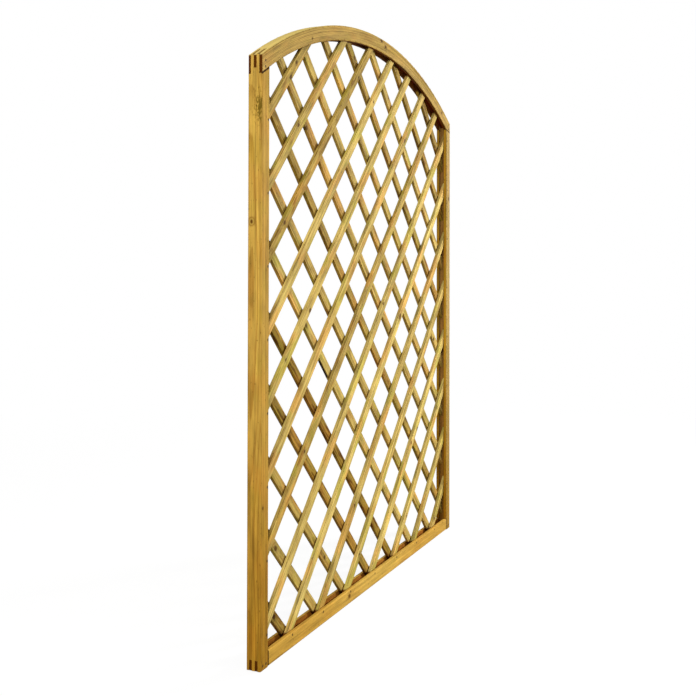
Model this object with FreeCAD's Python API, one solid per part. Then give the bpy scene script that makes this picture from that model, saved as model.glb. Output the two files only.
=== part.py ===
import FreeCAD, Part
import math
import os

from FreeCAD import Placement, Rotation, Vector

# Arched trellis panel, in millimetres.
# X runs across the panel, Y from its front to its back and Z up.
# The origin lies under the middle of the panel, halfway through its thickness.

# Frame
panel_width = 1500.0
stile_height = 1600.0
arch_rise = 200.0
stile_width = 42.0
rail_height = 42.0
arch_band = 45.0
frame_thickness = 42.0
arris_radius = 4.0

# Groove that holds the lattice, cut in the inner edges of the frame
groove_depth = 15.0

# Lattice: two layers of parallel slats, one leaning right and one leaning left
slat_width = 29.0
slat_thickness = 10.0
slat_bevel = 1.5
slat_side_play = 0.3
slat_end_play = 1.0

# Lattice spacing: each layer's feet share out the bottom rail between two end gaps, and the rows
# of crossings share out the height from just inside the rail to just under the arch's corners
foot_count = 7
end_foot_gap = 135.0
row_step_count = 15
first_row_sink = 6.5
top_row_gap = 92.7

# Comb joints at the corners: five equal fingers through the thickness of the frame
finger_count = 5
left_shoulder_drop = 22.0
right_shoulder_drop = 10.0
tenon_top_rise = 16.0

# Brads: square wire, flush with the wood
crossing_brad_side = 1.6
crossing_brad_length = 17.0
crossing_brad_margin = 12.0
lip_brad_side = 2.0
lip_brad_length = 19.0

# Pins through the comb joints: square wire, flush with the front
corner_pin_side = 2.5
corner_pin_length = 32.0
top_pin_inset = 19.0
top_pin_rises = (10.0, 26.0)
bottom_pin_height = 12.0
bottom_pin_insets = (13.0, 30.0)

# One overrun serves every cut
overrun = 10.0

# Derived sizes of the frame
half_width = panel_width / 2
panel_height = stile_height + arch_rise
front_face = -frame_thickness / 2
opening_half_width = half_width - stile_width
arch_radius = (half_width ** 2 + arch_rise ** 2) / (2 * arch_rise)
arch_centre_height = panel_height - arch_radius
arch_inner_radius = arch_radius - arch_band
opening_corner_height = arch_centre_height + math.sqrt(arch_inner_radius ** 2 - opening_half_width ** 2)
finger_thickness = frame_thickness / finger_count

# Derived sizes of the groove
groove_width = 2 * (slat_thickness + slat_side_play)
groove_floor_half_width = opening_half_width + groove_depth
groove_floor_height = rail_height - groove_depth
groove_floor_radius = arch_inner_radius + groove_depth

# Derived sizes of the lattice
first_foot = end_foot_gap - opening_half_width
first_crossing_height = rail_height - first_row_sink
pitch_across = -2 * first_foot / (foot_count - 1)
row_step = (opening_corner_height - top_row_gap - first_crossing_height) / row_step_count
slat_slope = 2 * row_step / pitch_across
slat_angle = math.degrees(math.atan(slat_slope))


def box(x_range, y_range, z_range):
    """A block between two places along each axis."""
    corner = Vector(x_range[0], y_range[0], z_range[0])
    sides = [high - low for low, high in (x_range, y_range, z_range)]
    return Part.makeBox(*sides, corner)


def disc(radius, thickness):
    """A round plate about the centre of the arch."""
    base = Vector(0, -thickness / 2, arch_centre_height)
    return Part.makeCylinder(radius, thickness, base, Vector(0, 1, 0))


def rounded_section(width, thickness, radius):
    """A rectangle about the origin, in the XY plane, with its four corners rounded."""
    if radius <= 0:
        return Part.Face(Part.makePlane(width, thickness, Vector(-width / 2, -thickness / 2, 0)))
    edges = []
    across = width / 2 - radius
    along = thickness / 2 - radius
    corners = [(across, along), (-across, along), (-across, -along), (across, -along)]
    for quarter, (x, y) in enumerate(corners):
        arc = Part.ArcOfCircle(Part.Circle(Vector(x, y, 0), Vector(0, 0, 1), radius),
                               math.radians(90 * quarter), math.radians(90 * (quarter + 1)))
        next_x, next_y = corners[(quarter + 1) % 4]
        edges.append(arc.toShape())
        side_start = arc.EndPoint
        side_end = side_start + Vector(next_x - x, next_y - y, 0)
        edges.append(Part.LineSegment(side_start, side_end).toShape())
    return Part.Face(Part.Wire(edges))


def bevelled_section(width, thickness, bevel):
    """A rectangle about the origin, in the XY plane, with its four corners cut off."""
    across = width / 2
    along = thickness / 2
    points = []
    for side_x, side_y in ((1, 1), (-1, 1), (-1, -1), (1, -1)):
        ends = [Vector(side_x * across, side_y * (along - bevel), 0),
                Vector(side_x * (across - bevel), side_y * along, 0)]
        points += ends if side_x == side_y else ends[::-1]
    return Part.Face(Part.makePolygon(points + points[:1]))


def bar(width, thickness, length, radius):
    """A straight bar that stands on the origin, with its long arrises rounded."""
    return rounded_section(width, thickness, radius).extrude(Vector(0, 0, length))


def shoulder_height_at(inset, drop):
    """Height of the sloping seam between stile and arch, at a distance from the stile's outer side."""
    return opening_corner_height - drop * (stile_width - inset) / stile_width


def tenon_top_height_at(inset):
    """Height of a stile's sawn tenon tops, at a distance from its outer side."""
    return stile_height + tenon_top_rise * inset / stile_width


def tenon_zones():
    """The second and fourth fifths of the thickness, which the tenons take, as ranges along Y."""
    zones = []
    for side in (-1, 1):
        middle = side * finger_thickness
        zones.append((middle - finger_thickness / 2, middle + finger_thickness / 2))
    return zones


def lattice_pocket(play):
    """The space behind the lips of the frame, or that space drawn in by a play for the slats in it."""
    half = groove_floor_half_width - play
    space = box((-half, half), (-groove_width / 2, groove_width / 2),
                (groove_floor_height + play, panel_height))
    return space.common(disc(groove_floor_radius - play, frame_thickness))


def sloping_block(side, inner, outer, level):
    """A block across one stile and past it, between a level and a line from one height to another."""
    points = [(opening_half_width, inner), (half_width + overrun, outer),
              (half_width + overrun, level), (opening_half_width, level)]
    corners = [Vector(side * x, front_face - overrun, z) for x, z in points]
    outline = Part.makePolygon(corners + corners[:1])
    return Part.Face(outline).extrude(Vector(0, frame_thickness + 2 * overrun, 0))


def shoulder_cut(side, drop):
    """What the sloping shoulder takes off the arch's tongues on one side."""
    outer = shoulder_height_at(-overrun, drop)
    return sloping_block(side, shoulder_height_at(stile_width, drop), outer, outer - arch_band)


def tenon_top_cut(side):
    """What the saw takes off above one stile's tenons, which end just below the arch's upper surface."""
    outer = tenon_top_height_at(-overrun)
    return sloping_block(side, tenon_top_height_at(stile_width), outer, panel_height + overrun)


def arch_stock(radius):
    """The curved rail with its groove and comb ends, before its ends are trimmed and pinned."""
    half_sweep = math.degrees(math.asin((half_width + overrun) / arch_inner_radius))
    section = rounded_section(arch_band, frame_thickness, radius)
    section.Placement = Placement(Vector(0, 0, panel_height - arch_band / 2), Rotation(Vector(0, 1, 0), 90))
    centre = Vector(0, 0, arch_centre_height)
    section.rotate(centre, Vector(0, 1, 0), -half_sweep)
    stock = section.revolve(centre, Vector(0, 1, 0), 2 * half_sweep)
    cuts = [disc(groove_floor_radius, groove_width)]
    for side, drop in ((-1, left_shoulder_drop), (1, right_shoulder_drop)):
        cuts.append(shoulder_cut(side, drop))
        ends = sorted((side * opening_half_width, side * (half_width + overrun)))
        for zone in tenon_zones():
            cuts.append(box(ends, zone, (stile_height - 2 * arch_band, panel_height)))
    return stock.cut(cuts)


def arched_top_rail():
    """The curved rail. Its ends are sawn flush with the stiles' outer sides, and rounded like them."""
    envelope = bar(panel_width, frame_thickness, panel_height + overrun, arris_radius)
    return arch_stock(arris_radius).common(envelope)


def bottom_rail():
    """The straight rail, grooved on top, with two tenons at each end that run through the stiles."""
    rail = bar(rail_height, frame_thickness, 2 * opening_half_width, arris_radius)
    rail.Placement = Placement(Vector(-opening_half_width, 0, rail_height / 2), Rotation(Vector(0, 1, 0), 90))
    tenons = [box((-half_width, half_width), zone, (0, groove_floor_height)) for zone in tenon_zones()]
    return rail.fuse(tenons).removeSplitter().cut(lattice_pocket(0))


def stile(side, rail):
    """An upright, slotted for the rail's tenons, with two tenons of its own up through the arch."""
    upright = bar(stile_width, frame_thickness, panel_height, arris_radius)
    upright.translate(Vector(side * (half_width - stile_width / 2), 0, 0))
    return upright.cut([tenon_top_cut(side), arch_stock(0), rail, lattice_pocket(0)])


def stretch_in_opening(foot_x):
    """Where the middle line of a right-leaning slat crosses the opening, as a range along X."""
    offset = first_crossing_height - foot_x * slat_slope - arch_centre_height
    square = 1 + slat_slope ** 2
    under_root = (slat_slope * offset) ** 2 - square * (offset ** 2 - arch_inner_radius ** 2)
    if under_root <= 0:
        return 0.0, 0.0
    at_arch = (math.sqrt(under_root) - slat_slope * offset) / square
    at_rail = foot_x + (rail_height - first_crossing_height) / slat_slope
    return max(at_rail, -opening_half_width), min(at_arch, opening_half_width)


def slat_feet():
    """Foot points of the right-leaning slats, from left to right, on the line of the first crossings."""
    reach = math.ceil((panel_width + panel_height) / pitch_across)
    feet = []
    for number in range(-reach, foot_count + reach):
        foot_x = first_foot + number * pitch_across
        start, end = stretch_in_opening(foot_x)
        if end - start >= slat_width:
            feet.append(foot_x)
    return feet


def slat(foot_x, lean, pocket):
    """A slat through a foot point on the first row of crossings, leaning right (1) or left (-1)."""
    half_length = panel_width + panel_height
    blank = bevelled_section(slat_width, slat_thickness, slat_bevel).extrude(Vector(0, 0, 2 * half_length))
    blank.translate(Vector(0, -lean * slat_thickness / 2, -half_length))
    turn = Rotation(Vector(0, 1, 0), lean * (90 - slat_angle))
    blank.Placement = Placement(Vector(foot_x, 0, first_crossing_height), turn) * blank.Placement
    return blank.common(pocket)


def square_brad(x, z, y_range, side):
    """A square wire brad that runs from the front towards the back."""
    return box((x - side / 2, x + side / 2), y_range, (z - side / 2, z + side / 2))


def crossing_brads(feet):
    """A brad at each open crossing, from the back, with the feet of the two slats that it holds."""
    back = slat_thickness
    depths = (back - crossing_brad_length, back)
    brads = []
    for front_foot in feet:
        for rear_foot in [-foot_x for foot_x in feet]:
            x = (front_foot + rear_foot) / 2
            z = first_crossing_height + (rear_foot - front_foot) * slat_slope / 2
            in_sides = abs(x) <= opening_half_width - crossing_brad_margin
            over_rail = z >= rail_height + crossing_brad_margin
            under_arch = math.hypot(x, z - arch_centre_height) <= arch_inner_radius - crossing_brad_margin
            if in_sides and over_rail and under_arch:
                brads.append((front_foot, rear_foot, square_brad(x, z, depths, crossing_brad_side)))
    return brads


def lip_brad(x, z):
    """A brad through the front lip of the frame into a front slat."""
    return square_brad(x, z, (front_face, front_face + lip_brad_length), lip_brad_side)


def bottom_rail_brads(feet):
    """One brad through the bottom rail's front lip at each front slat's foot."""
    held = [foot_x for foot_x in feet if abs(foot_x) <= opening_half_width - slat_width]
    return [(foot_x, lip_brad(foot_x, first_crossing_height)) for foot_x in held]


def stile_brads(side, feet):
    """One brad through a stile's front lip at each front slat that ends there."""
    x = side * (opening_half_width + groove_depth / 2)
    top = opening_corner_height - slat_width
    brads = []
    for foot_x in feet:
        z = first_crossing_height + (x - foot_x) * slat_slope
        if rail_height + slat_width <= z <= top:
            brads.append((foot_x, lip_brad(x, z)))
    return brads


def corner_pin(x, z):
    """A square wire pin through a comb joint, from the front."""
    return square_brad(x, z, (front_face, front_face + corner_pin_length), corner_pin_side)


def top_corner_pins(side, drop):
    """Two pins, one over the other, through the arch's tongues and the stile's tenons."""
    seam = shoulder_height_at(top_pin_inset, drop)
    return [corner_pin(side * (half_width - top_pin_inset), seam + rise) for rise in top_pin_rises]


def bottom_corner_pins(side):
    """Two pins, side by side, through the stile's tongues and the rail's tenons."""
    return [corner_pin(side * (half_width - inset), bottom_pin_height) for inset in bottom_pin_insets]


def drilled(piece, fasteners):
    """A piece of wood with a snug hole for each fastener."""
    return piece.cut(fasteners) if fasteners else piece


def frame_nodes(rail_brads, left_brads, right_brads):
    """The four members of the frame and the pins that hold their joints."""
    left_top = top_corner_pins(-1, left_shoulder_drop)
    right_top = top_corner_pins(1, right_shoulder_drop)
    left_bottom = bottom_corner_pins(-1)
    right_bottom = bottom_corner_pins(1)
    rail = bottom_rail()
    return {
        "left_stile": drilled(stile(-1, rail), left_top + left_bottom + left_brads),
        "right_stile": drilled(stile(1, rail), right_top + right_bottom + right_brads),
        "bottom_rail": drilled(rail, left_bottom + right_bottom + rail_brads),
        "arched_top_rail": drilled(arched_top_rail(), left_top + right_top),
        "top_corner_pins": Part.makeCompound(left_top + right_top),
        "bottom_corner_pins": Part.makeCompound(left_bottom + right_bottom),
    }


def slat_nodes(feet, crossings, lip_brads):
    """Both layers of slats, numbered from left to right along the bottom."""
    pocket = lattice_pocket(slat_end_play)
    nodes = {}
    for order, foot_x in enumerate(feet, 1):
        held = [brad for front_foot, rear_foot, brad in crossings if front_foot == foot_x]
        held += [brad for front_foot, brad in lip_brads if front_foot == foot_x]
        nodes[f"front_slat_{order:02d}"] = drilled(slat(foot_x, 1, pocket), held)
    for order, foot_x in enumerate(sorted(-foot_x for foot_x in feet), 1):
        held = [brad for front_foot, rear_foot, brad in crossings if rear_foot == foot_x]
        nodes[f"rear_slat_{order:02d}"] = drilled(slat(foot_x, -1, pocket), held)
    return nodes


def build():
    """All nodes of the panel by name."""
    feet = slat_feet()
    crossings = crossing_brads(feet)
    rail_brads = bottom_rail_brads(feet)
    left_brads = stile_brads(-1, feet)
    right_brads = stile_brads(1, feet)
    groups = {"crossing_brads": [brad for front_foot, rear_foot, brad in crossings]}
    for name, brads in (("bottom_rail_brads", rail_brads), ("left_stile_brads", left_brads),
                        ("right_stile_brads", right_brads)):
        groups[name] = [brad for foot_x, brad in brads]
    nodes = frame_nodes(groups["bottom_rail_brads"], groups["left_stile_brads"], groups["right_stile_brads"])
    nodes.update(slat_nodes(feet, crossings, rail_brads + left_brads + right_brads))
    nodes.update({name: Part.makeCompound(brads) for name, brads in groups.items()})
    return nodes


os.makedirs("parts", exist_ok=True)
for node, shape in build().items():
    shape.exportStep(f"parts/{node}.step")
    print(node, len(shape.Solids), round(shape.Volume))
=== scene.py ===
import math
import random
from typing import NamedTuple

import bmesh
import bpy
from bpy.props import FloatProperty, FloatVectorProperty, IntProperty, PointerProperty
from mathutils import Matrix, Vector


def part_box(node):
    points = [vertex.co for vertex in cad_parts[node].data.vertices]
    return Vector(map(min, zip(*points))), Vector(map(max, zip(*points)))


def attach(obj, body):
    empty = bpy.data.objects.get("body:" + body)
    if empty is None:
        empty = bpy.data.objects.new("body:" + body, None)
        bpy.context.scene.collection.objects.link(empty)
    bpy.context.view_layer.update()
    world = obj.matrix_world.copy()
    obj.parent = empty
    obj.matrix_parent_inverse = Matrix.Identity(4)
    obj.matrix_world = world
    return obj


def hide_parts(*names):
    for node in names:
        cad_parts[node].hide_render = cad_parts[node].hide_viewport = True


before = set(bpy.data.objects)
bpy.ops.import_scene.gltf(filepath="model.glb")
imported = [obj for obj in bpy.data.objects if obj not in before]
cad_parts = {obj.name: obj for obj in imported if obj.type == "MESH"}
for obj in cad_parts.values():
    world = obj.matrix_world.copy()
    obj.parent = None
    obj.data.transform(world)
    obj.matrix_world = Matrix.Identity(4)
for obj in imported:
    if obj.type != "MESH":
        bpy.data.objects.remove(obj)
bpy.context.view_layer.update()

bl_info = {
    "name": "Arched trellis panel",
    "version": (1, 0, 0),
    "blender": (4, 5, 0),
    "location": "3D View > Sidebar > Trellis",
    "description": "Sawn slats, a comb-jointed frame and its brads for an arched trellis panel",
    "category": "Object",
}

STILES = ("left_stile", "right_stile")
UP = Vector((0, 0, 1))
PICTURE_SIDE = 696


def linear(red, green, blue):
    """A colour seen on screen, from 0 to 255, as the light that a shader works with."""
    shares = (red / 255, green / 255, blue / 255)
    return tuple(c / 12.92 if c <= 0.04045 else ((c + 0.055) / 1.055) ** 2.4 for c in shares)


def measured(node):
    """Corner points of a node of the panel, at rest."""
    return [v.co.copy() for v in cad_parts[node].data.vertices]


# Sizes read from the frame
PANEL_LOW, PANEL_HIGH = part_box("left_stile")[0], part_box("right_stile")[1]
HALF_WIDTH = PANEL_HIGH.x
STILE_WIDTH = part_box("left_stile")[1].x - PANEL_LOW.x
OPENING_HALF_WIDTH = HALF_WIDTH - STILE_WIDTH
RAIL_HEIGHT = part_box("bottom_rail")[1].z

# Bands over which the timber's marks come in, in metres: where each starts to show and where it is full.
# Counted from the middle of the mark
BARK_ACROSS = (0.0024, 0.0014)
LAYER_CONTACT_SHADOW = (0.0016, 0.0006)
GROOVE_SIDE = (0.0107, 0.0101)
SLAT_BRAD_STAIN = (0.0042, 0.0012)
FRAME_BRAD_STAIN = (0.0052, 0.0018)
SEAM_JOINT_AND_SHADE = (0.0034, 0.0016)
# Counted short of the face or edge that it comes up to
SAWN_EDGE = (0.0008, 0.0002)
RIM_SHADE_ACROSS = (0.0017, 0.0005)
RIM_SHADE_THROUGH = (0.0016, 0.0004)
INNER_FACE_SHADE = (0.0008, 0.0001)
ARCH_LIP_SHADE = (0.0012, 0.0002)
GROOVE_HOLLOW_SHADE = (0.0165, 0.0155)
# Counted from the slat's middle towards its back, and from the opening's edge into the frame
BARK_THROUGH = (-0.0035, -0.002)
SLAT_SEAT_SHADE = (-0.004, 0.002)
# Counted up from the ground, and from the rail's middle towards its ends
FOOT_SHADE = (0.9, 0.0)
RAIL_SHADE = (0.1, 0.4)

# Bands of numbers without a unit. A knot's are in its own radius, and a ring's in a year's growth
KNOT_HEART = (1.0, 0.6)
KNOT_RIM = (0.3, 0.0)
KNOT_HALO = (3.5, 1.0)
LATE_WOOD = (0.45, 0.92)
YEAR_END = (1.0, 0.94)
# Counted in the strength of a noise
PATCHES = (0.5, 0.66)
BLOTCHES = (0.52, 0.66)
SPECKS = (0.68, 0.76)
SAWN_YEARS = (0.4, 0.7)
# Counted in how far a face looks down, to the left, to the front or back, and along its member
DOWN_FACING_SHADE = (-0.3, -0.6)
LOOKS_LEFT = (-0.3, -0.7)
LOOKS_OUT = (0.3, 0.7)
LOOKS_ALONG = (0.15, 0.45)

# Other reaches of marks, in metres
BACK_SKIN = 0.0002
CROSSING_SHADOW_REACH = 0.008
CROWN_HIGHLIGHT_REACH = 0.003
SEAM_END_REACH = 0.002

# Noise in the timber: repeats in a metre along the grain and across it, a shift that sets like patterns
# apart, detail and roughness
GRAIN = {
    "wobble": (5.0, 45.0, 0.0, 2.0, 0.5),
    "fibre": (22.0, 520.0, 0.0, 3.0, 0.6),
    "streak": (2.6, 210.0, 0.0, 3.0, 0.5),
    "broad": (11.0, 55.0, 0.0, 3.0, 0.5),
    "patch": (12.0, 28.0, 3.0, 2.0, 0.5),
    "glow": (9.0, 24.0, 8.0, 2.0, 0.5),
    "speck": (90.0, 260.0, 0.0, 1.0, 0.5),
}

# Knots drawn by chance on a slat: the chance of each, their radii, how far off its middle line they lie,
# their places as shares of its length, and the radius that stands for none
KNOT_CHANCES = (0.6, 0.4)
KNOT_RADII = (0.0025, 0.006)
KNOT_SPREAD = 0.009
KNOT_PLACES = (0.05, 0.95)
NO_KNOT = 0.0001

# Waves in a sawn face: how many, their lengths in metres and their weights
WAVES = 3
WAVE_LENGTHS = (0.25, 0.9)
WAVE_WEIGHTS = (0.4, 1.0)

# Saw and mesh tolerances, in metres and degrees
SAW_OVERRUN = 0.004
ARCH_NEAR = 0.02
PLANE_SLACK = 1e-7
WELD = 2e-6
END_SLACK = 1e-4
FLAT_ANGLE = 0.3
SHARP_ANGLE = 30
WIRE_REACH = 0.004

# Shape of a crossing brad: point, neck and seat of the head in metres, then shares of the head's sizes
POINT_HALF_SIDE = 0.0002
POINT_LENGTH = 0.002
HEAD_SEAT = 0.0002
NECK = 0.0001
SHANK_SHARE = 0.4
HEAD_SHOULDER = 0.6
HEAD_TOP = (0.8, 0.7)
# How far a brad may be turned, in radians, and the seed of those turns
BRAD_TURN = 0.35
BRAD_SEED = 5

# Lamps: place, the point aimed at, and the two sides, in metres
LAMPS = {
    "front_lamp": ((4.7, -3.2, 2.0), (0.0, 0, 0.9), (0.8, 0.8)),
    "side_lamp": ((-4.0, -1.1, 2.3), (-0.4, 0, 0.9), (0.9, 2.4)),
}


def size(name, default, description, low=0.0, high=10.0):
    """A length that a user can change."""
    return FloatProperty(name=name, description=description, default=default, min=low, max=high,
                         subtype="DISTANCE", unit="LENGTH", precision=4)


def share(name, default, description):
    """A share from 0 to 1 that a user can change."""
    return FloatProperty(name=name, description=description, default=default, min=0.0, max=1.0,
                         subtype="FACTOR")


def colour(name, default, description):
    """A colour that a user can change, given as it looks on screen."""
    return FloatVectorProperty(name=name, description=description, default=linear(*default),
                               min=0.0, max=1.0, size=3, subtype="COLOR")


class TrellisLatticeSizes(bpy.types.PropertyGroup):
    """Sizes of the lattice and of the finish on its slats."""

    pitch_across: size("Pitch across", 0.191, "From one slat to the next along the bottom rail")
    pitch_up: size("Pitch up", 0.192505, "From one slat to the next up a stile")
    first_crossing: size("First crossing", 0.0355, "Height of the lowest row of crossings")
    arch_rise: size("Arch rise", 0.2, "Height of the crown above the ends of the arch")
    arch_band: size("Arch band", 0.045, "Height of the curved rail's section")
    groove_reach: size("Reach into groove", 0.014, "How far a slat runs in behind the lips of the frame")
    arris: size("Slat arris", 0.0011, "Radius of a slat's rounded long edges")
    sawing_wave: size("Sawing wave", 0.0002, "How far a slat's sawn faces wander")
    station: size("Station", 0.03, "Distance between the rings of points along a slat")
    seed: IntProperty(name="Seed", description="Start of the random draws for grain and sawing", default=11)


class TrellisFrameSizes(bpy.types.PropertyGroup):
    """Sizes of the finish on the frame and its fasteners."""

    joint_bevel: size("Joint bevel", 0.0005, "Width of the worn edge along each sharp edge of the frame")
    tongue_recess: size("Tongue recess", 0.0012, "How far the tenon ends sit in from the stile's side")
    left_drop: size("Left shoulder drop", 0.022, "Fall of the joint line between arch and left stile")
    right_drop: size("Right shoulder drop", 0.010, "Fall of the joint line between arch and right stile")
    head_length: size("Brad head length", 0.0028, "Longer side of a lattice brad's head")
    head_width: size("Brad head width", 0.0016, "Shorter side of a lattice brad's head")
    head_height: size("Brad head height", 0.0003, "How far a lattice brad's head stands off the slat")


class TrellisTimberLook(bpy.types.PropertyGroup):
    """Colours of the pressure-treated pine, and sizes of its grain."""

    early: colour("Early wood", (198, 173, 98), "Pale wood between the growth rings")
    late: colour("Late wood", (140, 103, 38), "Darker wood of the growth rings")
    green: colour("Treatment tint", (170, 160, 60), "Green left by the treatment in patches")
    warm: colour("Warm tint", (204, 150, 74), "Resin-rich patches")
    dull: colour("Dull slats", (183, 168, 120), "Multiplies the browner slats' colour")
    left_stile: colour("Left stile", (227, 207, 166), "Multiplies the left stile's colour")
    right_stile: colour("Right stile", (214, 206, 212), "Multiplies the right stile's colour")
    rail: colour("Bottom rail", (250, 231, 190), "Multiplies the bottom rail's colour")
    rail_end_shade: colour("Ends of the rail", (238, 230, 214), "Multiplies the rail towards its ends")
    arch: colour("Arched rail", (214, 203, 190), "Multiplies the arched rail's colour")
    sawn: colour("Sawn edge", (244, 248, 250), "Multiplies the sawn edges of the slats")
    # Painted shade: under darkens the slats' edges that face down, as if less light reaches them
    under: colour("Lower edge", (236, 224, 190), "Multiplies the slats' edges that face down")
    # Painted shade: arris darkens the slats' rounded long edges into dark rims
    arris: colour("Slat arris", (205, 190, 165), "Multiplies the rounded edges of the slats")
    # Painted shade: a deeper orange on the faces round the opening, which the lattice shades
    inside: colour("Inner face", (254, 226, 104), "Multiplies the faces round the opening")
    # Painted shade: groove darkens the hollows of the frame's grooves
    groove: colour("Groove", (190, 125, 10), "Multiplies the hollow of a groove")
    # Painted shade: seat darkens the slats in their grooves and beside the crossings, and the arched rail's
    # face over the opening
    seat: colour("Seat", (120, 74, 34), "Multiplies a slat where it goes into its groove")
    # Painted shade: foot darkens the stiles towards the ground
    foot: colour("Foot", (226, 209, 156), "Multiplies the foot of a stile")
    # Painted highlight: crown lightens the arched rail's upper face as light from above would, rather than
    # bleaching
    crown: colour("Crown", (214, 192, 112), "Upper face of the arched rail, bleached by the sun")
    blotch: colour("Blotch", (168, 128, 84), "Multiplies the brown blotches of the duller slats")
    smudge: colour("Smudge", (92, 72, 16), "Green-brown stain left by the treatment")
    bark: colour("Bark", (30, 20, 12), "Strips of bark on the edge of a slat")
    knot: colour("Knot", (92, 58, 20), "Heart of a knot")
    cut: colour("End grain", (82, 42, 3), "Sawn ends, where the treatment soaks in")
    # stain also colours the seams: a dark joint line with painted shade in its gap
    stain: colour("Brad stain", (52, 34, 14), "Dark ring in the wood round a brad")
    ring_width: size("Ring width", 0.0034, "Width of a year's growth")
    depth: size("Grain depth", 0.0003, "Height of the raised grain")


class TrellisWireLook(bpy.types.PropertyGroup):
    """Colours of the wire brads and pins."""

    bright: colour("Bright wire", (50, 42, 32), "Zinc still on the wire")
    rust: colour("Rust", (54, 31, 17), "Rust where the zinc has gone")


class TrellisStage(bpy.types.PropertyGroup):
    """Camera, lamps and floor."""

    focal_pixels: FloatProperty(name="Focal length", description="In pixels of a picture 696 wide",
                                default=983.08, min=100.0)
    axis_row: FloatProperty(name="Axis row", description="Picture row that the camera's axis meets",
                            default=243.88)
    place: FloatVectorProperty(name="Camera place", description="Where the camera stands",
                               default=(-2.9682, -1.2932, 1.0781), size=3, subtype="XYZ", unit="LENGTH")
    yaw: FloatProperty(name="Yaw", description="Camera's turn away from the panel's length",
                       default=0.4330, subtype="ANGLE", unit="ROTATION")
    pitch: FloatProperty(name="Pitch", description="Camera's tilt upward", default=0.0110,
                         subtype="ANGLE", unit="ROTATION")
    roll: FloatProperty(name="Roll", description="Camera's roll", default=0.0021,
                        subtype="ANGLE", unit="ROTATION")
    floor_size: size("Floor size", 30.0, "Side of the square floor", high=100.0)
    floor: colour("Floor", (247, 247, 246), "Plain pale floor")
    bounce: share("Floor bounce", 0.5, "Share of the floor's colour that lights the panel from below")
    fade: size("Floor fade", 4.0, "Distance at which the floor has faded to plain white", high=100.0)
    front_lamp: FloatProperty(name="Front lamp", description="Power of the lamp before the panel",
                              default=400.0, unit="POWER")
    side_lamp: FloatProperty(name="Side lamp", description="Power of the lamp by the left stile",
                             default=131.0, unit="POWER")
    sky_side: FloatProperty(name="Sky, sides", default=0.2,
                            description="Strength of the light around at eye level")
    sky_top: FloatProperty(name="Sky, top", default=0.95, description="Strength of the light from overhead")


class Value:
    """One value in a material. Python's operators on it add the Math nodes."""

    def __init__(self, recipe, socket):
        self.recipe = recipe
        self.socket = socket

    def __add__(self, other):
        return self.recipe.math("ADD", self, other)

    def __radd__(self, other):
        return self.recipe.math("ADD", other, self)

    def __sub__(self, other):
        return self.recipe.math("SUBTRACT", self, other)

    def __rsub__(self, other):
        return self.recipe.math("SUBTRACT", other, self)

    def __mul__(self, other):
        return self.recipe.math("MULTIPLY", self, other)

    def __rmul__(self, other):
        return self.recipe.math("MULTIPLY", other, self)

    def __truediv__(self, other):
        return self.recipe.math("DIVIDE", self, other)

    def __rtruediv__(self, other):
        return self.recipe.math("DIVIDE", other, self)

    def __pow__(self, other):
        return self.recipe.math("POWER", self, other)

    def __rpow__(self, other):
        return self.recipe.math("POWER", other, self)


class Recipe:
    """A material or world under construction. Every node comes from its one method, node."""

    def __init__(self, owner):
        self.owner = owner
        owner.use_nodes = True
        self.tree = owner.node_tree
        self.tree.nodes.clear()

    def node(self, kind, settings=None, inputs=None, output=0):
        made = self.tree.nodes.new(kind)
        for key, value in (settings or {}).items():
            setattr(made, key, value)
        for key, value in (inputs or {}).items():
            socket = made.inputs[key]
            if isinstance(value, Value):
                self.tree.links.new(value.socket, socket)
            else:
                socket.default_value = value
        return None if output is None else Value(self, made.outputs[output])

    def math(self, operation, *values):
        return self.node("ShaderNodeMath", {"operation": operation}, dict(enumerate(values)))

    def vector(self, x, y, z):
        return self.node("ShaderNodeCombineXYZ", None, {0: x, 1: y, 2: z})

    def parts(self, vector):
        first = self.node("ShaderNodeSeparateXYZ", None, {0: vector})
        outputs = first.socket.node.outputs
        return [Value(self, outputs[i]) for i in range(3)]

    def noise(self, x, y, z, detail=2.0, roughness=0.5):
        return self.node("ShaderNodeTexNoise", {"noise_dimensions": "3D"},
                         {"Vector": self.vector(x, y, z), "Scale": 1.0, "Detail": detail,
                          "Roughness": roughness})

    def ease(self, value, start, end, low=0.0, high=1.0, kind="SMOOTHSTEP"):
        """A step from low to high while value runs from start to end, smooth unless another kind is named."""
        return self.node("ShaderNodeMapRange", {"interpolation_type": kind, "clamp": True},
                         {"Value": value, "From Min": start, "From Max": end, "To Min": low, "To Max": high})

    def near(self, value, limit, band, low=0.0, high=1.0):
        """A step up as value nears a limit, over a band of two distances short of it."""
        return self.ease(value, limit - band[0], limit - band[1], low, high)

    def size_of(self, value):
        return self.math("ABSOLUTE", value)

    def darken(self, factor, tone, colour):
        """A tone multiplied by a colour, as far as the factor says."""
        return self.mix(factor, tone, colour, "MULTIPLY")

    def mix(self, factor, a, b, blend="MIX"):
        a, b = (c if isinstance(c, Value) else (*c, 1.0) for c in (a, b))
        return self.node("ShaderNodeMix", {"data_type": "RGBA", "blend_type": blend},
                         {0: factor, 6: a, 7: b}, 2)

    def finish(self, colour, roughness, height, depth, metallic=0.0, specular=0.02):
        normal = self.node("ShaderNodeBump", None,
                           {"Strength": 1.0, "Distance": depth, "Height": height})
        surface = self.node("ShaderNodeBsdfPrincipled", None,
                            {"Base Color": colour, "Roughness": roughness, "Normal": normal,
                             "Metallic": metallic, "Specular IOR Level": specular})
        self.node("ShaderNodeOutputMaterial", None, {"Surface": surface}, None)
        return self.owner


class Log(NamedTuple):
    """How a piece came out of its tree.

    lot starts its noise. heart is where the tree's middle runs, across and through the piece. Each knot is a
    place along the piece, one on its face (or, with edge, on its edge), and a radius. figure is how plainly
    the rings show, and mottle how plainly the green and warm patches do.
    """

    lot: object
    heart: tuple
    knots: tuple
    figure: float
    mottle: float


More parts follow.
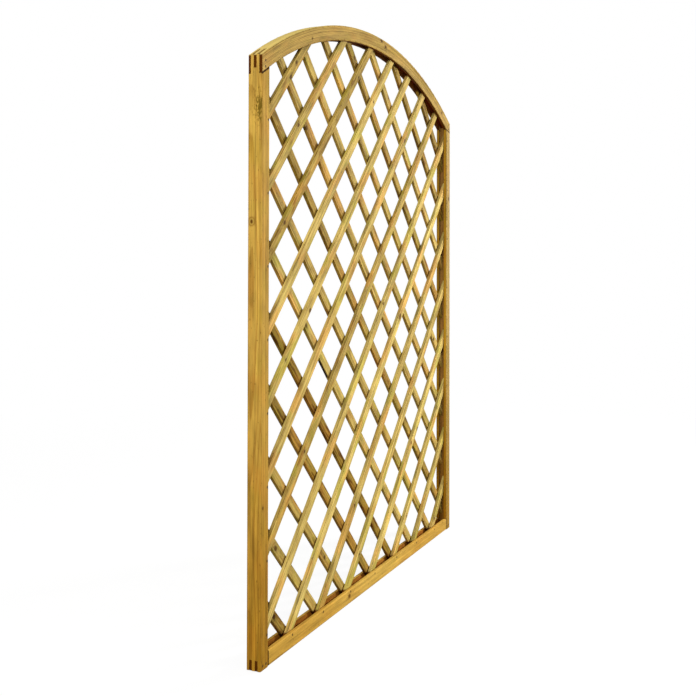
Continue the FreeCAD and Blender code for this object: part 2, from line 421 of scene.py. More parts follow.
def timber(recipe, look, point, log, lean):
    """Treated pine before any marks: rings about a heart line, fibres, streaks, tints and knots.

    point is a place along, across and through the piece, and lean is how far its rings wander. Returns the
    colour, the roughness and the height.
    """
    u, v, w = point
    lot = log.lot
    sway = recipe.noise(u * 1.4, lot, 0.3, detail=1.0) - 0.5
    drift = recipe.noise(u * 1.1, lot, 7.7, detail=1.0) - 0.5
    swirl, knot_heart, knot_rim, knot_halo = 0.0, 0.0, 0.0, 0.0
    for along, offset, radius, edge in log.knots:
        run = (u - along) / 1.4
        side = (w if edge else v) - offset
        reach = (run * run + side * side) ** 0.5 / radius
        swirl = swirl + radius * 1.4 * math.e ** (reach * reach * -0.2)
        knot_heart = knot_heart + recipe.ease(reach, *KNOT_HEART)
        knot_rim = knot_rim + recipe.ease(recipe.size_of(reach - 0.95), *KNOT_RIM)
        knot_halo = knot_halo + recipe.ease(reach, *KNOT_HALO)
    to_heart_v = v + sway * lean - log.heart[0]
    to_heart_w = w + drift * lean * 0.7 - log.heart[1]
    radius = (to_heart_v * to_heart_v + to_heart_w * to_heart_w) ** 0.5 + swirl
    u, v, w = u + lot * 3.1, v + lot * 1.7, w + lot * 0.9
    wobble, fibre, streak, broad, patch, glow, speck = (
        recipe.noise(u * along, v * across, w * across + shift, detail, roughness)
        for along, across, shift, detail, roughness in GRAIN.values())
    rings = radius / look.ring_width + wobble * 0.7
    year = recipe.math("FLOOR", rings)
    phase = rings - year
    late = recipe.ease(phase, *LATE_WOOD) * recipe.ease(phase, *YEAR_END)
    late = late * (recipe.noise(year * 3.7, lot, 0.5, detail=0.0) * 1.6) * log.figure
    tone = recipe.mix(late, look.early, look.late)
    tone = recipe.mix(recipe.ease(patch, *PATCHES) * log.mottle, tone, look.green)
    tone = recipe.mix(recipe.ease(glow, *PATCHES) * log.mottle, tone, look.warm)
    lines = 0.4 + log.figure * 1.8
    clouds = 0.5 + log.mottle * 1.8
    level = broad * clouds + streak * lines + fibre * 0.6 + (0.7 - clouds / 2 - lines / 2)
    level = level - recipe.ease(speck, *SPECKS) * 0.45
    level = level * (1 - knot_halo * 0.22)
    tone = recipe.node("ShaderNodeVectorMath", {"operation": "SCALE"}, {0: tone, "Scale": level})
    tone = recipe.mix(knot_heart * 0.9, tone, look.knot)
    tone = recipe.mix(knot_rim * 0.7, tone, tuple(c * 0.35 for c in look.knot))
    roughness = fibre * 0.25 - late * 0.12 + 0.55
    height = late * 0.35 + fibre * 0.6 + knot_rim * 0.5
    return tone, roughness, height


def slat_timber(look, arch, width, thickness):
    """Material of every slat. Its places, lot, knots and bark are stored on the slats' own points."""
    recipe = Recipe(bpy.data.materials.new("slat_pine"))
    place, knot_a, knot_b, bark = (
        recipe.node("ShaderNodeAttribute", {"attribute_name": name}, None, "Vector")
        for name in ("grain", "knot_a", "knot_b", "bark"))
    lot, bright, crossing = (
        recipe.node("ShaderNodeAttribute", {"attribute_name": name}, None, "Fac")
        for name in ("lot", "bright", "crossing"))
    u, v, w = recipe.parts(place)
    edge, face = width / 2, thickness / 2
    knots = tuple((*recipe.parts(knot), False) for knot in (knot_a, knot_b))
    heart = ((recipe.noise(lot, 1.3, 2.2, detail=0.0) - 0.5) * 0.16, -0.045)
    log = Log(lot, heart, knots, figure=0.55, mottle=0.55)
    tone, roughness, height = timber(recipe, look, (u, v, w), log, lean=0.02)
    tone = recipe.darken(1 - bright, tone, look.dull)
    blots = recipe.noise(u * 16.0, v * 90.0, lot + w * 90.0, detail=2.0)
    blotch = recipe.ease(blots, *BLOTCHES) * (1 - bright)
    tone = recipe.darken(blotch * 0.85, tone, look.blotch)
    tone = recipe.darken(recipe.near(v, edge, SAWN_EDGE), tone, look.sawn)
    normal_z = recipe.parts(recipe.node("ShaderNodeNewGeometry", None, None, "Normal"))[2]
    # Painted shade on the slats' edges that face down
    tone = recipe.darken(recipe.ease(normal_z, *DOWN_FACING_SHADE), tone, look.under)
    # Painted shade along the slats' rounded long edges
    arris = recipe.near(recipe.size_of(v), edge, RIM_SHADE_ACROSS)
    arris = arris * recipe.near(recipe.size_of(w), face, RIM_SHADE_THROUGH)
    tone = recipe.darken(arris, tone, look.arris)
    bark_u, bark_v, bark_length = recipe.parts(bark)
    barked = recipe.ease(recipe.size_of(u - bark_u), bark_length * 0.5, bark_length * 0.42)
    barked = barked * recipe.ease(recipe.size_of(v - bark_v), *BARK_ACROSS) * recipe.ease(w, *BARK_THROUGH)
    tone = recipe.mix(barked, tone, look.bark)
    to_brad = recipe.math("WRAP", u, crossing * 0.5, crossing * -0.5)
    from_brad = (to_brad * to_brad + v * v) ** 0.5
    behind = recipe.math("GREATER_THAN", w, face - BACK_SKIN)
    tone = recipe.mix(recipe.ease(from_brad, *SLAT_BRAD_STAIN, high=0.75) * behind, tone, look.stain)
    x, y, z = recipe.parts(recipe.node("ShaderNodeTexCoord", None, None, "Object"))
    # Painted shadow: the slats darker where the two layers touch beside each crossing
    crossing_shadow = recipe.ease(recipe.size_of(to_brad), edge + CROSSING_SHADOW_REACH, edge, high=0.8)
    crossing_shadow = crossing_shadow * recipe.ease(recipe.size_of(y), *LAYER_CONTACT_SHADOW)
    tone = recipe.darken(crossing_shadow, tone, look.seat)
    # Painted shade: the slats darker where they run into the grooves of the arch, the rail and the left stile
    rise = z - arch.centre
    past_arch = (x * x + rise * rise) ** 0.5 - arch.inner_radius
    buried = recipe.math("MAXIMUM", past_arch, RAIL_HEIGHT - z)
    buried = recipe.math("MAXIMUM", buried, -1 * x - OPENING_HALF_WIDTH)
    tone = recipe.darken(recipe.ease(buried, *SLAT_SEAT_SHADE), tone, look.seat)
    return recipe.finish(tone, roughness, height, look.depth)


class Layout(NamedTuple):
    """Places in a member of the frame.

    point is along, across and through it. end_on is how far a face looks along it. depth runs from its middle
    towards the opening, up to lip, and lean is how far its rings wander.
    """

    point: tuple
    end_on: object
    depth: object
    lip: float
    lean: float


def upright_layout(place, normal, side):
    """Layout of the left (-1) or right (1) stile."""
    x, y, z = place
    middle = side * (HALF_WIDTH - STILE_WIDTH / 2)
    return Layout((z, x - middle, y), normal[2], (middle - x) * side, STILE_WIDTH / 2, lean=0.03)


def level_layout(place, normal):
    """Layout of the bottom rail."""
    x, y, z = place
    above = z - RAIL_HEIGHT / 2
    return Layout((x, above, y), normal[0], above, RAIL_HEIGHT / 2, lean=0.03)


def curved_layout(recipe, place, normal, arch):
    """Layout of the arched rail, along its curve."""
    x, y, z = place
    rise = z - arch.centre
    out = (x * x + rise * rise) ** 0.5
    angle = recipe.math("ARCTAN2", x, rise)
    middle = arch.radius - arch.band / 2
    end_on = (normal[0] * rise - normal[2] * x) / out
    return Layout((angle * middle, out - middle, y), end_on, middle - out, arch.band / 2, lean=0.05)


def smudged(recipe, look, tone, point, normal_x, smudges):
    """The tone with its smudges, on the face that looks left.

    Each is a place along the member, one through it and a radius, where the treatment has stained it.
    """
    for along, through, radius in smudges:
        off_u, off_w = (point[0] - along) * 0.4, point[2] - through
        reach = (off_u * off_u + off_w * off_w) ** 0.5 / radius
        cloud = recipe.noise(point[0] * 110.0, point[1] * 330.0, point[2] * 330.0, detail=3.0)
        blot = recipe.ease(reach * 0.5 + cloud * 2.2, 1.75, 1.15) * recipe.ease(normal_x, *LOOKS_LEFT)
        tone = recipe.mix(blot * 0.95, tone, look.smudge)
    return tone


def stain_and_seam_shade(recipe, x, z, brads, seams):
    """How far brads and joint lines have darkened the wood.

    Each brad is a place across and up the panel. Each seam is the two ends of a joint line, across and up,
    drawn as a dark joint with painted shade in its gap.
    """
    stain = 0.0
    for brad_x, brad_z in brads:
        off_x, off_z = x - brad_x, z - brad_z
        from_brad = (off_x * off_x + off_z * off_z) ** 0.5
        stain = stain + recipe.ease(from_brad, *FRAME_BRAD_STAIN, high=0.9)
    for start, end in seams:
        run = Vector(end) - Vector(start)
        length = run.length
        run.normalize()
        along = (x - start[0]) * run.x + (z - start[1]) * run.y
        off = recipe.size_of((x - start[0]) * -run.y + (z - start[1]) * run.x)
        beyond = recipe.size_of(along - length / 2)
        drawn = recipe.ease(off, *SEAM_JOINT_AND_SHADE, high=0.95)
        stain = stain + drawn * recipe.ease(beyond, length / 2 + SEAM_END_REACH, length / 2)
    return stain


def frame_timber(name, scene, tint, log, brads, seams, smudges=()):
    """Material of one member of the frame, multiplied by a tint."""
    look = scene.trellis_timber
    recipe = Recipe(bpy.data.materials.new(f"{name}_pine"))
    place = recipe.parts(recipe.node("ShaderNodeTexCoord", None, None, "Object"))
    normal = recipe.parts(recipe.node("ShaderNodeNewGeometry", None, None, "Normal"))
    x, y, z = place
    is_stile, is_rail, is_arch = name in STILES, name == "bottom_rail", name == "arched_rail"
    if is_stile:
        layout = upright_layout(place, normal, math.copysign(1, brads[0][0]))
    elif is_rail:
        layout = level_layout(place, normal)
    else:
        layout = curved_layout(recipe, place, normal, Arch(scene.trellis_lattice))
    depth, lip = layout.depth, layout.lip
    tone, roughness, height = timber(recipe, look, layout.point, log, layout.lean)
    tone = recipe.darken(1.0, tone, tint)
    if is_stile:
        # Painted shade: the stiles darker towards the ground
        tone = recipe.darken(recipe.ease(z, *FOOT_SHADE), tone, look.foot)
    if is_rail:
        # Painted shade: the bottom rail darker towards its ends, lighter in its middle
        tone = recipe.darken(recipe.ease(recipe.size_of(x), *RAIL_SHADE), tone, look.rail_end_shade)
    tone = smudged(recipe, look, tone, layout.point, normal[0], smudges)
    year_lines = recipe.noise(layout.point[1] * 900.0, layout.point[2] * 900.0, 0.0)
    sawn = recipe.mix(recipe.ease(year_lines, *SAWN_YEARS), look.cut, tuple(c * 0.45 for c in look.cut))
    tone = recipe.mix(recipe.ease(recipe.size_of(layout.end_on), *LOOKS_ALONG), tone, sawn)
    # Painted shade in the grooves' hollows, laid twice over on the arched rail
    in_groove = recipe.ease(recipe.size_of(y), *GROOVE_SIDE)
    hollow = in_groove * recipe.near(depth, lip, GROOVE_HOLLOW_SHADE, high=0.6 if is_stile else 1.0)
    tone = recipe.darken(hollow, tone, look.groove)
    # Painted shade on the faces round the opening
    if not is_rail:
        tone = recipe.darken(recipe.near(depth, lip, INNER_FACE_SHADE), tone, look.inside)
    if is_arch:
        tone = recipe.darken(hollow, tone, look.groove)
        # Painted shade on the arched rail's face over the opening
        tone = recipe.darken(recipe.near(depth, lip, ARCH_LIP_SHADE, high=0.9), tone, look.seat)
        # Painted highlight on the arched rail's upper face
        tone = recipe.mix(recipe.ease(depth, -lip + CROWN_HIGHLIGHT_REACH, -lip, high=0.6), tone, look.crown)
    # Real stains round the brads, and seams drawn as dark joints with painted shade in their gaps
    stain = stain_and_seam_shade(recipe, x, z, brads, seams)
    tone = recipe.mix(stain * recipe.ease(recipe.size_of(normal[1]), *LOOKS_OUT), tone, look.stain)
    return recipe.finish(tone, roughness, height, look.depth)


def wire_metal(look):
    """Dull zinc-coated wire with rust."""
    recipe = Recipe(bpy.data.materials.new("brad_wire"))
    x, y, z = recipe.parts(recipe.node("ShaderNodeTexCoord", None, None, "Object"))
    spots = recipe.noise(x * 900.0, y * 900.0, z * 900.0, detail=3.0)
    scale = recipe.noise(x * 2500.0, y * 2500.0, z * 2500.0)
    rusty = recipe.ease(spots, 0.45, 0.6)
    tone = recipe.mix(rusty, look.bright, look.rust)
    return recipe.finish(tone, roughness=rusty * 0.3 + 0.45, height=scale * 0.4 + rusty * 0.6,
                         depth=0.0001, metallic=0.5 - rusty * 0.4)


class Arch:
    """The circle of the curved rail."""

    def __init__(self, sizes):
        self.radius = (HALF_WIDTH ** 2 + sizes.arch_rise ** 2) / (2 * sizes.arch_rise)
        self.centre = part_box("arched_top_rail")[1].z - self.radius
        self.band = sizes.arch_band
        self.inner_radius = self.radius - self.band
        self.corner = self.centre + math.sqrt(self.inner_radius ** 2 - OPENING_HALF_WIDTH ** 2)


def top_seams(scene):
    """Ends of the sloping joint lines between the stiles and the arch, left and right."""
    arch, sizes = Arch(scene.trellis_lattice), scene.trellis_frame
    return [((side * OPENING_HALF_WIDTH, arch.corner), (side * HALF_WIDTH, arch.corner - drop))
            for side, drop in ((-1, sizes.left_drop), (1, sizes.right_drop))]


def foot_seams():
    """Ends of the upright joint lines between the stiles and the bottom rail, left and right."""
    return [((side * OPENING_HALF_WIDTH, 0.0), (side * OPENING_HALF_WIDTH, RAIL_HEIGHT))
            for side in (-1, 1)]


def finish_mesh(name, bm, smooth_below=35):
    """A piece from its mesh under construction, shaded smooth across its gentle edges."""
    bmesh.ops.recalc_face_normals(bm, faces=bm.faces)
    mesh = bpy.data.meshes.new(name)
    bm.to_mesh(mesh)
    bm.free()
    mesh.shade_smooth()
    mesh.set_sharp_from_angle(angle=math.radians(smooth_below))
    piece = bpy.data.objects.new(name, mesh)
    bpy.context.scene.collection.objects.link(piece)
    return piece


def stand_for(piece, node):
    """Puts a piece in the place of a node of the frame."""
    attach(piece, "root")
    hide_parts(node)


def rounded_outline(width, thickness, radius, steps=3):
    """Points round a rectangle with rounded corners, as places across and through."""
    points = []
    for quarter, (side_v, side_w) in enumerate(((1, 1), (-1, 1), (-1, -1), (1, -1))):
        for step in range(steps + 1):
            angle = (quarter + step / steps) * math.pi / 2
            points.append((side_v * (width / 2 - radius) + radius * math.cos(angle),
                           side_w * (thickness / 2 - radius) + radius * math.sin(angle)))
    return points


def sawing(draw, reach):
    """A slow wander along a sawn face, as a function of the place along it."""
    waves = [(draw.uniform(*WAVE_LENGTHS), draw.uniform(0, math.tau), draw.uniform(*WAVE_WEIGHTS))
             for _ in range(WAVES)]
    total = sum(weight for length, start, weight in waves)
    return lambda u: reach * sum(weight * math.sin(math.tau * u / length + start)
                                 for length, start, weight in waves) / total


def trim(bm, place, outward):
    """Cuts off what lies past a plane and closes the cut."""
    everything = bm.verts[:] + bm.edges[:] + bm.faces[:]
    bmesh.ops.bisect_plane(bm, geom=everything, dist=PLANE_SLACK, plane_co=place, plane_no=outward,
                           clear_outer=True)
    bmesh.ops.holes_fill(bm, edges=[e for e in bm.edges if e.is_boundary], sides=0)


class SlatLayer:
    """Directions in one layer of slats: along them, and square to them in the panel's plane."""

    def __init__(self, lean, sizes):
        self.run = Vector((lean * sizes.pitch_across, 0, sizes.pitch_up)).normalized()
        self.side = Vector((-self.run.z, 0, self.run.x))
        self.crossing = math.hypot(sizes.pitch_across, sizes.pitch_up) / 2

    def section(self, node):
        """Width, thickness and the middle's two places of a slat of the frame."""
        points = measured(node)
        across = [p.dot(self.side) for p in points]
        through = [p.y for p in points]
        return (max(across) - min(across), max(through) - min(through),
                (max(across) + min(across)) / 2, (max(through) + min(through)) / 2)


def skin(bm, rings):
    """Joins rings of points, one after the other, and closes both ends."""
    count = len(rings[0])
    for ring, following in zip(rings, rings[1:]):
        for i in range(count):
            after = (i + 1) % count
            bm.faces.new((ring[i], ring[after], following[after], following[i]))
    bm.faces.new(rings[0])
    bm.faces.new(rings[-1])


def saw_blank(bm, layer, section, ends, sizes, draw):
    """A slat before it is cut to its seats, with the wander of its sawn faces."""
    width, thickness, middle, depth = section
    start, end = ends
    outline = rounded_outline(width - sizes.sawing_wave, thickness - sizes.sawing_wave, sizes.arris)
    upper, lower, outer = (sawing(draw, sizes.sawing_wave / 2) for _ in range(3))
    bow = sawing(draw, sizes.sawing_wave)
    stations = max(2, round((end - start) / sizes.station))
    rings = []
    for number in range(stations + 1):
        u = start + (end - start) * number / stations
        ring = []
        for v, w in outline:
            v_there = v + (upper(u) if v > 0 else lower(u)) + bow(u)
            at = layer.run * u + layer.side * (middle + v_there)
            at.y = depth + w + (outer(u) if w * depth > 0 else 0)
            ring.append(bm.verts.new(at))
        rings.append(ring)
    skin(bm, rings)


def cut_to_seats(bm, layer, middle, ends, sizes, arch):
    """Cuts a blank off behind the lips of the stiles, the bottom rail and the arch."""
    reach_x = OPENING_HALF_WIDTH + sizes.groove_reach
    trim(bm, Vector((-reach_x, 0, 0)), Vector((-1, 0, 0)))
    trim(bm, Vector((reach_x, 0, 0)), Vector((1, 0, 0)))
    trim(bm, Vector((0, 0, RAIL_HEIGHT - sizes.groove_reach)), Vector((0, 0, -1)))
    inner = arch.inner_radius + sizes.groove_reach
    centre = Vector((0, 0, arch.centre))
    for place_u in ends:
        out = layer.run * place_u + layer.side * middle - centre
        if out.length > inner - ARCH_NEAR and out.z > 0:
            ahead = layer.run.dot(out)
            step = math.sqrt(ahead ** 2 - (out.length ** 2 - inner ** 2)) - ahead
            seat = out + layer.run * step
            trim(bm, seat + centre, seat.normalized())


def store_grain(mesh, layer, section, foot, ends, marks, draw, bright):
    """Writes on a slat's points what its timber reads.

    These are their places, two knots, the bark, the lot, the brightness and how far apart the crossings lie.
    """
    middle, depth = section[2:]
    start = ends[0] - foot
    length = ends[1] - ends[0]
    points = [v.co for v in mesh.vertices]
    grain = [c for p in points for c in (p.dot(layer.run) - foot, p.dot(layer.side) - middle, p.y - depth)]
    mesh.attributes.new("grain", "FLOAT_VECTOR", "POINT").data.foreach_set("vector", grain)
    own = []
    for x, z, extent in marks:
        mark = Vector((x, 0, z))
        own.append([mark.dot(layer.run) - foot, mark.dot(layer.side) - middle, extent])
    knots = own[:2]
    for chance in KNOT_CHANCES:
        place_u = start + draw.uniform(*KNOT_PLACES) * length
        place_v = draw.uniform(-KNOT_SPREAD, KNOT_SPREAD)
        radius = draw.uniform(*KNOT_RADII) if draw.random() < chance else NO_KNOT
        knots.append([place_u, place_v, radius])
    bark = own[2] if len(own) > 2 else [start + 0.5 * length, 0.0, 0.0]
    for name, values in (("knot_a", knots[0]), ("knot_b", knots[1]), ("bark", bark)):
        attribute = mesh.attributes.new(name, "FLOAT_VECTOR", "POINT")
        attribute.data.foreach_set("vector", values * len(points))
    for name, value in (("lot", draw.uniform(0, 40)), ("bright", bright), ("crossing", layer.crossing)):
        attribute = mesh.attributes.new(name, "FLOAT", "POINT")
        attribute.data.foreach_set("value", [value] * len(points))


def slat(node, layer, sizes, arch, draw, marks, bright):
    """One slat, sawn with rounded edges and cut to its seats in the frame's grooves.

    Marks are places across and up the panel, each with a size: up to two knots, and then a strip of bark.
    """
    section = layer.section(node)
    middle = section[2]
    places_u = [p.dot(layer.run) for p in measured(node)]
    ends = (min(places_u) - SAW_OVERRUN, max(places_u) + SAW_OVERRUN)
    foot = (sizes.first_crossing - layer.side.z * middle) / layer.run.z
    bm = bmesh.new()
    saw_blank(bm, layer, section, ends, sizes, draw)
    cut_to_seats(bm, layer, middle, ends, sizes, arch)
    piece = finish_mesh(f"sawn_{node}", bm)
    store_grain(piece.data, layer, section, foot, ends, marks, draw, bright)
    stand_for(piece, node)
    return piece


def build_slats(scene, name, lean, brightness, plain, marks):
    """One layer of slats. Each draws its brightness from a range, apart from those that plain names."""
    sizes = scene.trellis_lattice
    arch = Arch(sizes)
    layer = SlatLayer(lean, sizes)
    nodes = sorted(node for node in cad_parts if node.startswith(name))
    if not nodes:
        raise RuntimeError(f"the frame has no node whose name starts with {name}")
    material = bpy.data.materials.get("slat_pine")
    if material is None:
        material = slat_timber(scene.trellis_timber, arch, *layer.section(nodes[0])[:2])
    for number, node in enumerate(nodes):
        draw = random.Random(sizes.seed * 1000 + number * 2 + (lean > 0))
        bright = draw.uniform(*brightness)
        piece = slat(node, layer, sizes, arch, draw, marks.get(node, []), plain.get(node, bright))
        piece.data.materials.append(material)


def worn_copy(node, bevel, recess=0.0):
    """A member of the frame with its sharp edges worn, and its tenon ends sunk in by a recess."""
    bm = bmesh.new()
    bm.from_mesh(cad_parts[node].data)
    bmesh.ops.remove_doubles(bm, verts=bm.verts, dist=WELD)
    bmesh.ops.dissolve_limit(bm, angle_limit=math.radians(FLAT_ANGLE), verts=bm.verts, edges=bm.edges)
    for vertex in bm.verts:
        if recess and abs(vertex.co.x) > HALF_WIDTH - END_SLACK:
            vertex.co.x -= math.copysign(recess, vertex.co.x)
    sharp = [e for e in bm.edges if e.is_manifold and e.calc_face_angle(0) > math.radians(SHARP_ANGLE)]
    bmesh.ops.bevel(bm, geom=sharp, offset=bevel, segments=2, profile=0.6, affect="EDGES",
                    clamp_overlap=True)
    bmesh.ops.dissolve_degenerate(bm, dist=WELD, edges=bm.edges)
    piece = finish_mesh(f"worn_{node}", bm)
    stand_for(piece, node)
    return piece


def wire_places(node):
    """Middle of each wire in a group of upright-square wires, across and up, from its corners."""
    corners = measured(node)
    places = []
    for corner in corners:
        near = [p for p in corners
                if abs(p.x - corner.x) < WIRE_REACH and abs(p.z - corner.z) < WIRE_REACH]
        middle = (sum(p.x for p in near) / len(near), sum(p.z for p in near) / len(near))
        if not any(math.dist(middle, place) < END_SLACK for place in places):
            places.append(middle)
    return places


class TRELLIS_OT_front_slats(bpy.types.Operator):
    """Saw the front layer of slats, which leans right"""

    bl_idname = "trellis.front_slats"
    bl_label = "Front slats"

    def execute(self, context):
        marks = {"front_slat_01": [(-0.538, 1.6154, 0.004)],
                 "front_slat_07": [(-0.483, 0.5197, 0.004)],
                 "front_slat_08": [(0.0945, 0.9137, 0.004)],
                 "front_slat_09": [(0.244, 0.8615, 0.0085)],
                 "front_slat_10": [(-0.139, 0.288, 0.004)]}
        plain = {"front_slat_01": 0.4, "front_slat_02": 0.6, "front_slat_03": 0.3,
                 "front_slat_07": 0.5, "front_slat_09": 1.0, "front_slat_12": 1.0}
        build_slats(context.scene, "front_slat", 1, brightness=(0.7, 1.0), plain=plain, marks=marks)
        return {"FINISHED"}


class TRELLIS_OT_rear_slats(bpy.types.Operator):
    """Saw the rear layer of slats, which leans left"""

    bl_idname = "trellis.rear_slats"
    bl_label = "Rear slats"

    def execute(self, context):
        marks = {"rear_slat_02": [(-0.6327, 0.2846, 0.006)],
                 "rear_slat_06": [(-0.4566, 0.8748, 0.005), (-0.1, 0.52, 0.003), (-0.334, 0.736, 0.085)],
                 "rear_slat_09": [(-0.4564, 1.4435, 0.005)]}
        plain = {"rear_slat_04": 0.1, "rear_slat_05": 0.0, "rear_slat_06": 0.75, "rear_slat_13": 0.7}
        build_slats(context.scene, "rear_slat", -1, brightness=(0.15, 0.6), plain=plain, marks=marks)
        return {"FINISHED"}


class TRELLIS_OT_stiles(bpy.types.Operator):
    """Wear the edges of both stiles and give them their timber"""

    bl_idname = "trellis.stiles"
    bl_label = "Stiles"

    def execute(self, context):
        scene = context.scene
        look, finish = scene.trellis_timber, scene.trellis_frame
        logs = {"left_stile": Log(lot=3.3, heart=(0.045, 0.012), figure=0.5, mottle=0.2,
                                  knots=((1.164, 0.0092, 0.0035, True), (0.42, -0.01, 0.003, False))),
                "right_stile": Log(lot=9.1, heart=(-0.045, 0.012), figure=0.5, mottle=0.2,
                                   knots=((0.7, 0.005, 0.006, True), (1.3, 0.006, 0.005, False)))}
        smudges = {"left_stile": ((1.462, -0.015, 0.015),), "right_stile": ()}
        pins = wire_places("bottom_corner_pins")
        for node, seams in zip(STILES, zip(top_seams(scene), foot_seams())):
            wires = wire_places(f"{node}_brads")
            wires += [pin for pin in pins if pin[0] * wires[0][0] > 0]
            piece = worn_copy(node, finish.joint_bevel)
            wood = frame_timber(node, scene, getattr(look, node), logs[node], wires, seams, smudges[node])
            piece.data.materials.append(wood)
        return {"FINISHED"}


class TRELLIS_OT_bottom_rail(bpy.types.Operator):
    """Wear the edges of the bottom rail and give it its timber"""

    bl_idname = "trellis.bottom_rail"
    bl_label = "Bottom rail"

    def execute(self, context):
        scene = context.scene
        look, finish = scene.trellis_timber, scene.trellis_frame
        knots = ((-0.2, 0.004, 0.005, False),)
        log = Log(lot=5.2, heart=(0.01, 0.06), knots=knots, figure=0.25, mottle=0.15)
        piece = worn_copy("bottom_rail", finish.joint_bevel, finish.tongue_recess)
        brads = wire_places("bottom_rail_brads")
        wood = frame_timber("bottom_rail", scene, look.rail, log, brads, foot_seams())
        piece.data.materials.append(wood)
        return {"FINISHED"}


class TRELLIS_OT_arched_rail(bpy.types.Operator):
    """Wear the edges of the arched top rail and give it its timber"""

    bl_idname = "trellis.arched_rail"
    bl_label = "Arched top rail"

    def execute(self, context):
        scene = context.scene
        look, finish = scene.trellis_timber, scene.trellis_frame
        knots = ((-0.4713, -0.0065, 0.003, False), (0.0475, 0.0145, 0.005, False),
                 (0.083, 0.003, 0.005, False), (0.672, 0.003, 0.004, False))
        log = Log(lot=7.4, heart=(0.06, 0.02), knots=knots, figure=0.8, mottle=0.2)
        piece = worn_copy("arched_top_rail", finish.joint_bevel, finish.tongue_recess)
        pins = wire_places("top_corner_pins")
        wood = frame_timber("arched_rail", scene, look.arch, log, pins, top_seams(scene))
        piece.data.materials.append(wood)
        return {"FINISHED"}


class TRELLIS_OT_brads(bpy.types.Operator):
    """Set the brads at the crossings, and give all the wire its metal"""

    bl_idname = "trellis.brads"
    bl_label = "Brads and pins"

    def execute(self, context):
        sizes = context.scene.trellis_frame
        metal = wire_metal(context.scene.trellis_wire)
        draw = random.Random(BRAD_SEED)
        low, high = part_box("crossing_brads")
        shank = sizes.head_width * SHANK_SHARE
        long_half, short_half = sizes.head_length / 2, sizes.head_width / 2
        levels = ((low.y, POINT_HALF_SIDE, POINT_HALF_SIDE),
                  (low.y + POINT_LENGTH, shank, shank),
                  (high.y - HEAD_SEAT - NECK, shank, shank),
                  (high.y - HEAD_SEAT, long_half, short_half),
                  (high.y + sizes.head_height * HEAD_SHOULDER, long_half, short_half),
                  (high.y + sizes.head_height, long_half * HEAD_TOP[0], short_half * HEAD_TOP[1]))
        bm = bmesh.new()
        for x, z in wire_places("crossing_brads"):
            turn = draw.uniform(-BRAD_TURN, BRAD_TURN) + draw.choice((0, math.pi / 2))
            across = Vector((math.cos(turn), 0, math.sin(turn)))
            up = Vector((-across.z, 0, across.x))
            rings = []
            for y, a, b in levels:
                middle = Vector((x, y, z))
                rings.append([bm.verts.new(middle + across * (a * i) + up * (b * j))
                              for i, j in ((1, 1), (-1, 1), (-1, -1), (1, -1))])
            skin(bm, rings)
        piece = finish_mesh("driven_crossing_brads", bm, smooth_below=20)
        piece.data.materials.append(metal)
        stand_for(piece, "crossing_brads")
        for node in ("bottom_rail_brads", "left_stile_brads", "right_stile_brads", "top_corner_pins",
                     "bottom_corner_pins"):
            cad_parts[node].material_slots[0].material = metal
        return {"FINISHED"}


class TRELLIS_OT_stage(bpy.types.Operator):
    """Set the floor, the lamps and the camera"""

    bl_idname = "trellis.stage"
    bl_label = "Stage"

    def execute(self, context):
        scene = context.scene
        stage = scene.trellis_stage
        half = stage.floor_size / 2
        mesh = bpy.data.meshes.new("floor")
        corners = [(-half, -half, 0), (half, -half, 0), (half, half, 0), (-half, half, 0)]
        mesh.from_pydata(corners, [], [(0, 1, 2, 3)])
        floor = bpy.data.objects.new("floor", mesh)
        scene.collection.objects.link(floor)
        floor.data.materials.append(floor_paint(stage))
        light_sky(scene, stage)
        for name in LAMPS:
            add_lamp(scene, name, getattr(stage, name))
        add_camera(scene, stage)
        return {"FINISHED"}


def seen_directly(recipe):
    """1 where the camera, gloss or glass looks, and 0 where light only gathers."""
    outputs = recipe.node("ShaderNodeLightPath").socket.node.outputs
    camera, gloss, glass = (Value(recipe, outputs[f"Is {kind} Ray"])
                            for kind in ("Camera", "Glossy", "Transmission"))
    return recipe.ease(camera + gloss + glass, 0.0, 1.0)


def floor_paint(stage):
    """Pale floor that keeps a shadow, fades to plain white away from the panel and bounces little light."""
    recipe = Recipe(bpy.data.materials.new("pale_floor"))
    x, y, z = recipe.parts(recipe.node("ShaderNodeTexCoord", None, None, "Object"))
    seen = seen_directly(recipe)
    tone = recipe.mix(seen, tuple(c * stage.bounce for c in stage.floor), stage.floor)
    paint = recipe.node("ShaderNodeBsdfPrincipled", None,
                        {"Base Color": tone, "Roughness": 1.0, "Specular IOR Level": 0.0})
    white = recipe.node("ShaderNodeEmission", None, {"Color": (1.0, 1.0, 1.0, 1.0), "Strength": 1.0})
    away = recipe.ease((x * x + y * y) ** 0.5, 1.0, stage.fade, low=0.88) * seen
    surface = recipe.node("ShaderNodeMixShader", None, {0: away, 1: paint, 2: white})
    recipe.node("ShaderNodeOutputMaterial", None, {"Surface": surface}, None)
    return recipe.owner


def light_sky(scene, stage):
    """Soft light from overhead, weaker from the sides. The camera, gloss and glass see it as plain white."""
    scene.world = bpy.data.worlds.new("studio")
    recipe = Recipe(scene.world)
    x, y, z = recipe.parts(recipe.node("ShaderNodeTexCoord", None, None, "Generated"))
    strength = recipe.ease(z, 0.0, 1.0, stage.sky_side, stage.sky_top, kind="LINEAR")
    light = recipe.node("ShaderNodeBackground", None, {"Color": (1.0, 1.0, 1.0, 1.0), "Strength": strength})
    white = recipe.node("ShaderNodeBackground", None, {"Color": (1.0, 1.0, 1.0, 1.0), "Strength": 1.0})
    surface = recipe.node("ShaderNodeMixShader", None, {0: seen_directly(recipe), 1: light, 2: white})
    recipe.node("ShaderNodeOutputWorld", None, {"Surface": surface}, None)


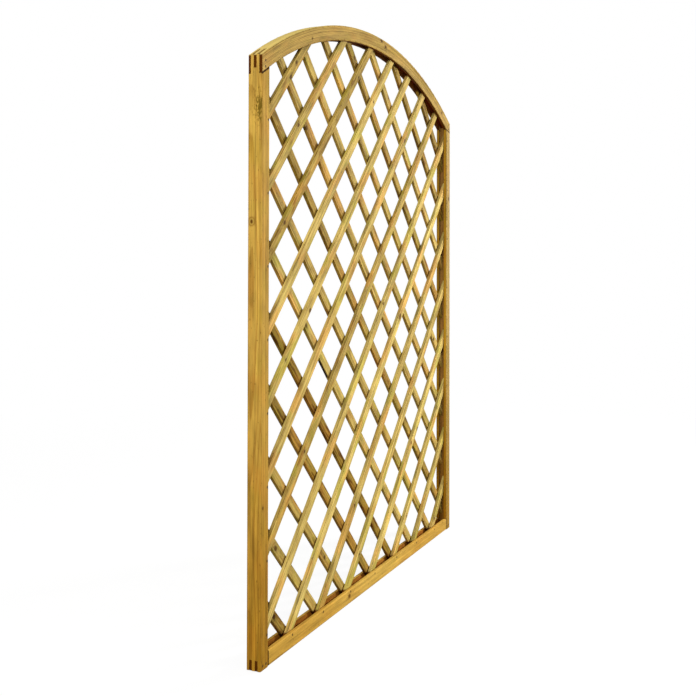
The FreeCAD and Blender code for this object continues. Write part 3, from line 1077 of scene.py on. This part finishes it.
def add_lamp(scene, name, power):
    """One of the lamps, which the camera doesn't see."""
    place, target, sides = LAMPS[name]
    lamp = bpy.data.lights.new(name, "AREA")
    lamp.shape = "RECTANGLE"
    lamp.size, lamp.size_y = sides
    lamp.energy = power
    holder = bpy.data.objects.new(name, lamp)
    holder.location = place
    holder.rotation_euler = (Vector(target) - Vector(place)).to_track_quat("-Z", "Y").to_euler()
    holder.visible_camera = False
    scene.collection.objects.link(holder)


def add_camera(scene, stage):
    """The camera of the photo, from its turns about the panel's length."""
    forward = Vector((math.cos(stage.yaw), math.sin(stage.yaw), 0))
    right = Vector((math.sin(stage.yaw), -math.cos(stage.yaw), 0))
    aim = forward * math.cos(stage.pitch) + UP * math.sin(stage.pitch)
    top = UP * math.cos(stage.pitch) - forward * math.sin(stage.pitch)
    across = right * math.cos(stage.roll) + top * math.sin(stage.roll)
    above = top * math.cos(stage.roll) - right * math.sin(stage.roll)
    camera = bpy.data.cameras.new("photo_camera")
    camera.sensor_width = 36.0
    camera.lens = stage.focal_pixels / PICTURE_SIDE * camera.sensor_width
    camera.shift_y = (stage.axis_row - PICTURE_SIDE / 2) / PICTURE_SIDE
    holder = bpy.data.objects.new("photo_camera", camera)
    holder.matrix_world = Matrix((across, above, -aim)).transposed().to_4x4()
    holder.location = stage.place
    scene.collection.objects.link(holder)
    scene.camera = holder
    scene.view_settings.view_transform = "Standard"


class TRELLIS_PT_panel(bpy.types.Panel):
    """Settings and steps of the trellis panel"""

    bl_idname = "TRELLIS_PT_panel"
    bl_label = "Arched trellis panel"
    bl_space_type = "VIEW_3D"
    bl_region_type = "UI"
    bl_category = "Trellis"

    def draw(self, context):
        for group, kind in GROUPS.items():
            settings = getattr(context.scene, group)
            box = self.layout.box()
            box.label(text=group.removeprefix("trellis_").capitalize())
            for name in kind.__annotations__:
                box.prop(settings, name)
        for step in STEPS:
            self.layout.operator(step.bl_idname)


GROUPS = {
    "trellis_lattice": TrellisLatticeSizes,
    "trellis_frame": TrellisFrameSizes,
    "trellis_timber": TrellisTimberLook,
    "trellis_wire": TrellisWireLook,
    "trellis_stage": TrellisStage,
}
STEPS = (TRELLIS_OT_stage, TRELLIS_OT_stiles, TRELLIS_OT_bottom_rail, TRELLIS_OT_arched_rail,
         TRELLIS_OT_front_slats, TRELLIS_OT_rear_slats, TRELLIS_OT_brads)
CLASSES = (*GROUPS.values(), *STEPS, TRELLIS_PT_panel)


def register():
    for cls in CLASSES:
        bpy.utils.register_class(cls)
    for name, group in GROUPS.items():
        setattr(bpy.types.Scene, name, PointerProperty(type=group))


def unregister():
    for name in GROUPS:
        delattr(bpy.types.Scene, name)
    for cls in reversed(CLASSES):
        bpy.utils.unregister_class(cls)


def main():
    register()
    bpy.ops.trellis.stage()
    bpy.ops.trellis.stiles()
    bpy.ops.trellis.bottom_rail()
    bpy.ops.trellis.arched_rail()
    bpy.ops.trellis.front_slats()
    bpy.ops.trellis.rear_slats()
    bpy.ops.trellis.brads()


if __name__ == "__main__":
    main()
